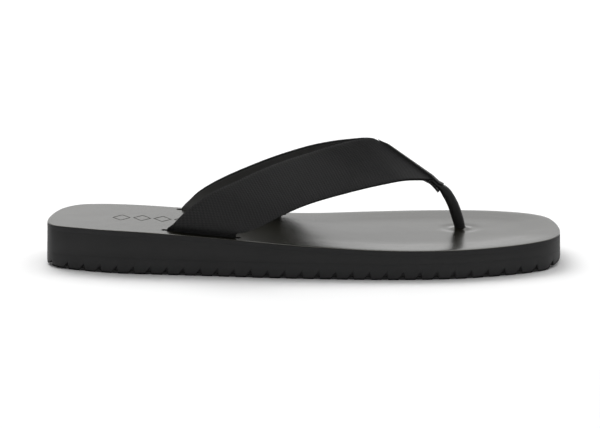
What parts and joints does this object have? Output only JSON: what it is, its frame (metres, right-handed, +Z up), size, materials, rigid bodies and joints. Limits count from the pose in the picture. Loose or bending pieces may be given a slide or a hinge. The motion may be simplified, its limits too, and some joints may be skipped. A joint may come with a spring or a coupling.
{
  "type": "flip flop",
  "caption": "Thong sandal with a flat footbed, a ridged rubber sole and two wide webbing straps that meet in a V at a round toe post.",
  "frame": {"origin": "middle of the sole's length and width, on the floor", "axes": "+X towards the toe, +Y towards the inner (medial) side of the right foot, +Z up"},
  "size_m": [0.2878, 0.1102, 0.0674],
  "materials": {
    "outsole_rubber": "matte black rubber",
    "midsole_foam": "matte black moulded foam rubber",
    "board_fibre": "plain fibreboard",
    "cushion_foam": "soft black foam",
    "footbed_leather": "semi-gloss smooth black leather",
    "strap_webbing": "matte black ribbed webbing",
    "strap_lining": "matte black smooth lining",
    "trim_leather": "satin black leather",
    "post_cord": "matte black braided cord",
    "anchor_plastic": "matte black plastic"
  },
  "bodies": {
    "root": {"outsole": "outsole_rubber", "midsole": "midsole_foam", "insole_board": "board_fibre", "footbed_cushion": "cushion_foam", "footbed_leather": "footbed_leather", "strap_webbing_lateral": "strap_webbing", "strap_webbing_medial": "strap_webbing", "strap_lining_lateral": "strap_lining", "strap_lining_medial": "strap_lining", "ridge_overlay": "trim_leather", "junction_backing": "trim_leather", "toe_post_sleeve": "trim_leather", "toe_post_core": "post_cord", "toe_post_anchor": "anchor_plastic"}
  },
  "joints": []
}
